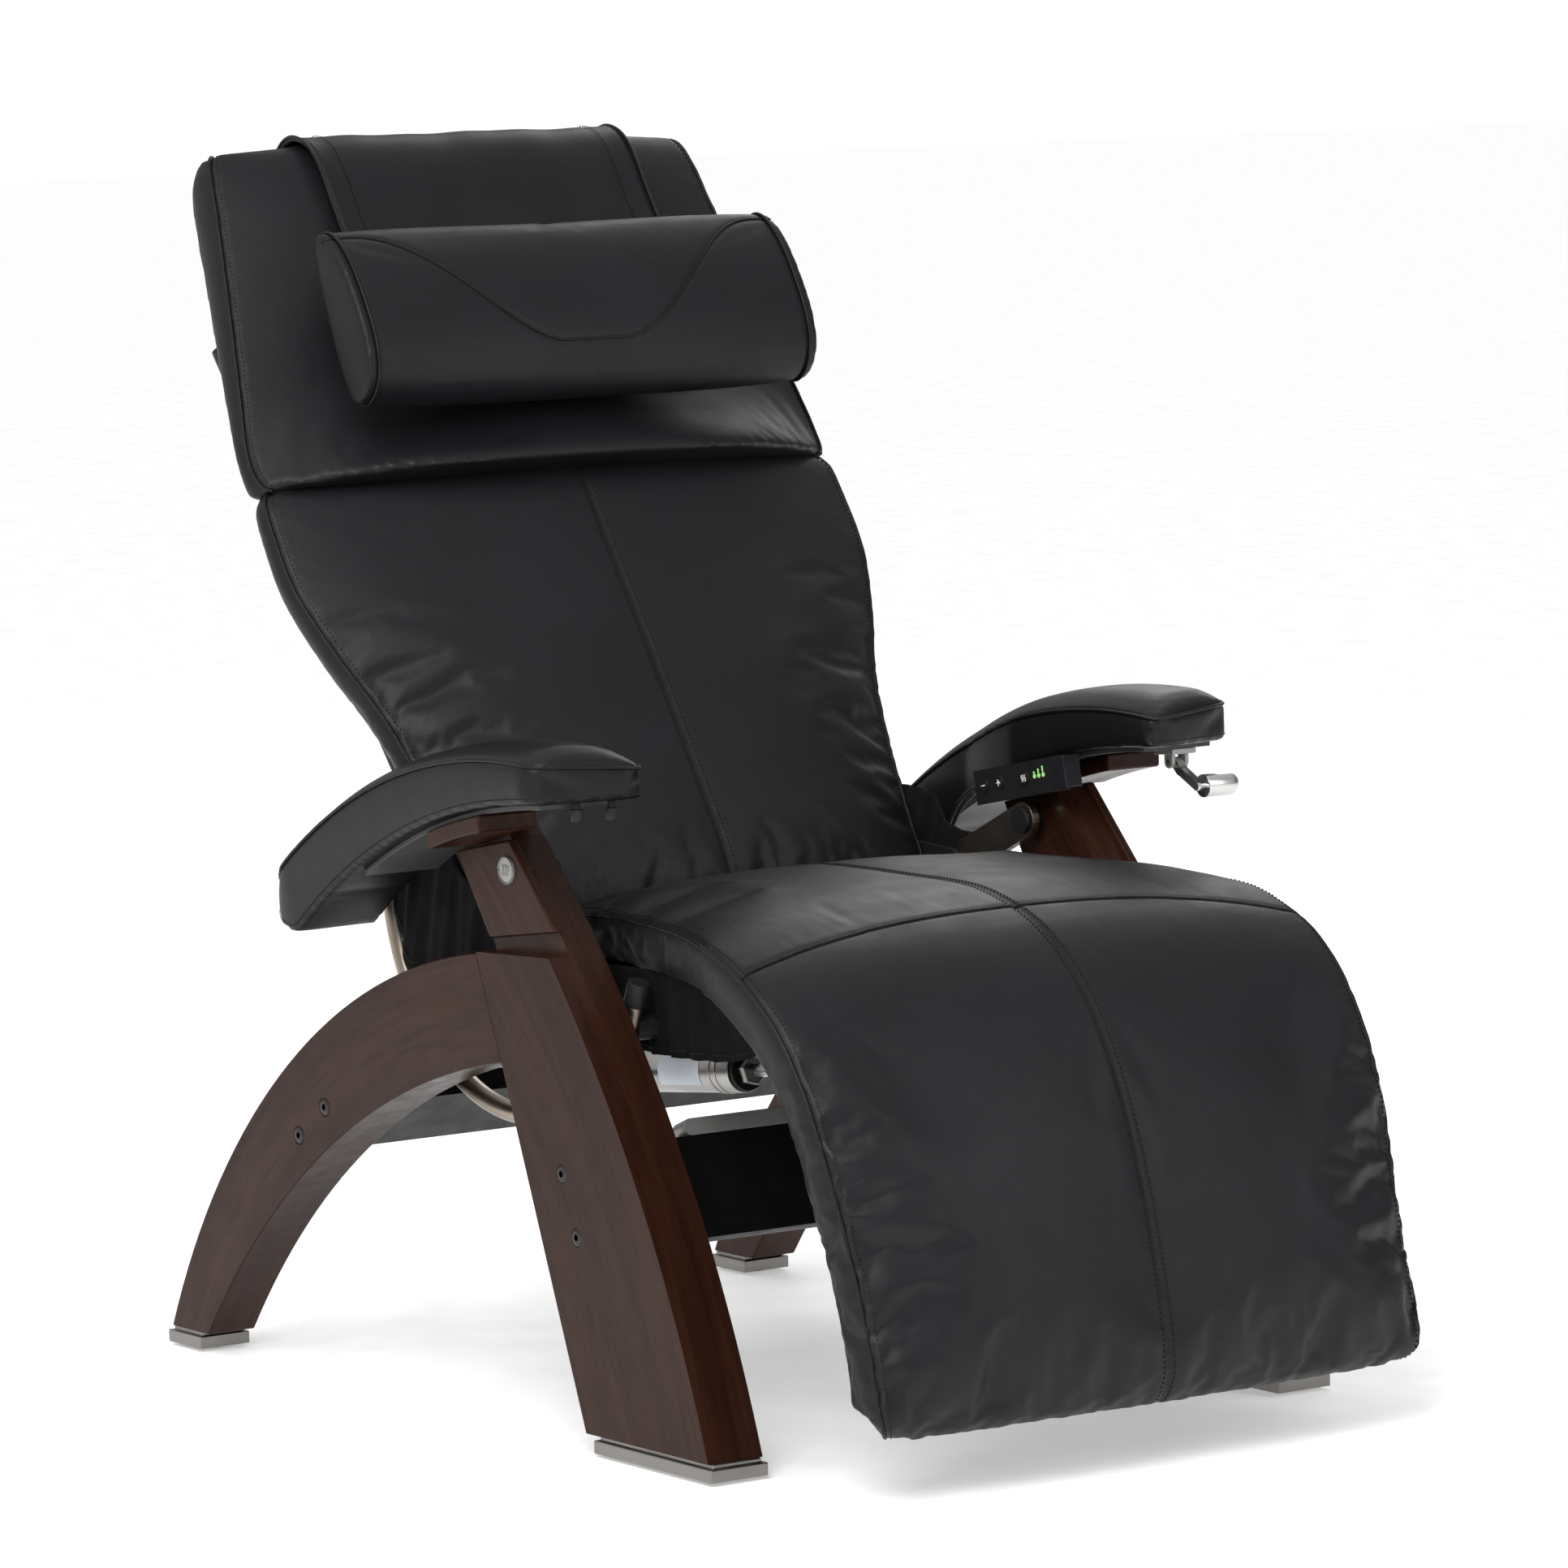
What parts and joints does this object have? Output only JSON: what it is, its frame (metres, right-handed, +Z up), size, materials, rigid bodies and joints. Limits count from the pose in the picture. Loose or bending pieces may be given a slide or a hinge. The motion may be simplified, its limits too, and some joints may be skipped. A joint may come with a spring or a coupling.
{
  "type": "recliner",
  "caption": "Zero gravity recliner with dark bentwood side frames, black leather pads, a head pillow, a release lever and a small control panel.",
  "frame": {"origin": "middle of the whole chair's outline at floor level, where the levellers rest", "axes": "+Z up from the floor, the sitter faces -Y, and +X is the sitter's left hand, the side of the release lever"},
  "size_m": [0.784, 1.159, 1.1692],
  "materials": {
    "walnut": "satin lacquered dark walnut veneer over bent laminated wood",
    "cover_veneer": "satin lacquered dark veneer",
    "badge_metal": "brushed oval plate without a mark",
    "black_board": "satin black painted board",
    "grey_metal": "plain light grey metal",
    "black_steel": "black powder coat",
    "nickel": "brushed nickel",
    "black_plastic": "matt moulded plastic",
    "arm_leather": "soft charcoal black leather with a low sheen",
    "pad_leather": "soft charcoal black leather with a low sheen",
    "pillow_leather": "soft charcoal black leather with a low sheen",
    "panel_plastic": "satin black plastic",
    "panel_gloss": "glossy black plastic",
    "green_light": "small green status lights",
    "button_plastic": "satin black buttons with pale raised signs",
    "lead_rubber": "black insulated lead",
    "chrome": "polished chrome",
    "bronze_tube": "satin champagne bronze metallic coat",
    "cylinder_metal": "silver metallic tube with a blank label"
  },
  "bodies": {
    "base": {"left_front_leg": "walnut", "right_front_leg": "walnut", "left_rear_arch": "walnut", "right_rear_arch": "walnut", "left_post_cover": "cover_veneer", "right_post_cover": "cover_veneer", "side_badges": "badge_metal", "front_stretcher": "black_board", "stretcher_rail": "grey_metal", "rear_stretcher": "black_board", "frame_bolts": "black_steel", "front_left_foot_cap": "nickel", "front_right_foot_cap": "nickel", "rear_left_foot_cap": "nickel", "rear_right_foot_cap": "nickel", "left_arm_block": "walnut", "right_arm_block": "walnut", "left_arm_plate": "grey_metal", "right_arm_plate": "grey_metal", "left_arm_pad": "arm_leather", "right_arm_pad": "arm_leather", "spare_arm_bolts": "black_plastic", "panel_housing": "panel_plastic", "panel_end_cap": "panel_gloss", "panel_lights": "green_light", "panel_leads": "lead_rubber", "control_box": "black_plastic", "lever_bracket": "grey_metal", "pivot_pins": "black_steel", "cylinder_mount": "black_steel"},
    "front_left_leveller": {"front_left_leveller": "black_plastic"},
    "front_right_leveller": {"front_right_leveller": "black_plastic"},
    "rear_left_leveller": {"rear_left_leveller": "black_plastic"},
    "rear_right_leveller": {"rear_right_leveller": "black_plastic"},
    "lever": {"lever_bar": "chrome", "lever_knob": "chrome"},
    "minus_button": {"minus_button": "button_plastic"},
    "plus_button": {"plus_button": "button_plastic"},
    "heat_button": {"heat_button": "button_plastic"},
    "seat": {"left_hip_arm": "bronze_tube", "right_hip_arm": "bronze_tube", "left_bow_tube": "bronze_tube", "right_bow_tube": "bronze_tube", "bow_end_caps": "black_plastic", "front_cross_tube": "black_steel", "seat_deck": "black_board", "leg_deck": "black_board", "seat_leg_pad": "pad_leather", "rod_lug": "black_steel", "rod_pin": "black_steel"},
    "back": {"back_hinge_frame": "black_steel", "back_rails": "black_steel", "back_panel": "black_board", "back_pad": "pad_leather", "head_pad": "pad_leather", "head_flap": "pillow_leather"},
    "pillow": {"head_pillow": "pillow_leather"},
    "cylinder": {"lock_cylinder": "cylinder_metal", "cylinder_gland": "black_plastic"},
    "rod": {"lock_rod": "chrome"}
  },
  "joints": [
    {"name": "front_left_leveller_turn", "type": "hinge", "parent": "base", "child": "front_left_leveller", "pos_m": [0.316, -0.277, 0], "axis": [0, 0, 1], "continuous": true},
    {"name": "front_right_leveller_turn", "type": "hinge", "parent": "base", "child": "front_right_leveller", "pos_m": [-0.316, -0.277, 0], "axis": [0, 0, 1], "continuous": true},
    {"name": "rear_left_leveller_turn", "type": "hinge", "parent": "base", "child": "rear_left_leveller", "pos_m": [0.319, 0.5355, 0], "axis": [0, 0, 1], "continuous": true},
    {"name": "rear_right_leveller_turn", "type": "hinge", "parent": "base", "child": "rear_right_leveller", "pos_m": [-0.319, 0.5355, 0], "axis": [0, 0, 1], "continuous": true},
    {"name": "recline", "type": "hinge", "parent": "base", "child": "seat", "pos_m": [0, -0.015, 0.508], "axis": [-1, 0, 0], "range_deg": [0, 30]},
    {"name": "back_fold", "type": "hinge", "parent": "seat", "child": "back", "pos_m": [0, 0.095, 0.458], "axis": [-1, 0, 0], "range_deg": [0, 12]},
    {"name": "pillow_slide", "type": "slide", "parent": "back", "child": "pillow", "axis": [0, 0.4617, 0.887], "range_m": [-0.03, 0.03]},
    {"name": "cylinder_tilt", "type": "hinge", "parent": "base", "child": "cylinder", "pos_m": [-0.06, 0.215, 0.278], "axis": [-1, 0, 0], "range_deg": [0, 8.1]},
    {"name": "rod_slide", "type": "slide", "parent": "cylinder", "child": "rod", "axis": [0, -0.9949, 0.1011], "range_m": [0, 0.1005]},
    {"name": "lever_turn", "type": "hinge", "parent": "base", "child": "lever", "pos_m": [0.345, -0.156, 0.568], "axis": [-1, 0, 0], "range_deg": [0, 30]},
    {"name": "minus_press", "type": "slide", "parent": "base", "child": "minus_button", "axis": [1, 0, 0], "range_m": [0, 0.0015], "stiffness_N_per_m": 900, "springref_m": -0.001},
    {"name": "plus_press", "type": "slide", "parent": "base", "child": "plus_button", "axis": [1, 0, 0], "range_m": [0, 0.0015], "stiffness_N_per_m": 900, "springref_m": -0.001},
    {"name": "heat_press", "type": "slide", "parent": "base", "child": "heat_button", "axis": [1, 0, 0], "range_m": [0, 0.0015], "stiffness_N_per_m": 900, "springref_m": -0.001}
  ],
  "couplings": [
    {"joint": "back_fold", "follows": "recline", "ratio": 0.4},
    {"joint": "cylinder_tilt", "follows": "recline", "ratio": 0.268},
    {"joint": "rod_slide", "follows": "recline", "m_per_rad": 0.191}
  ]
}
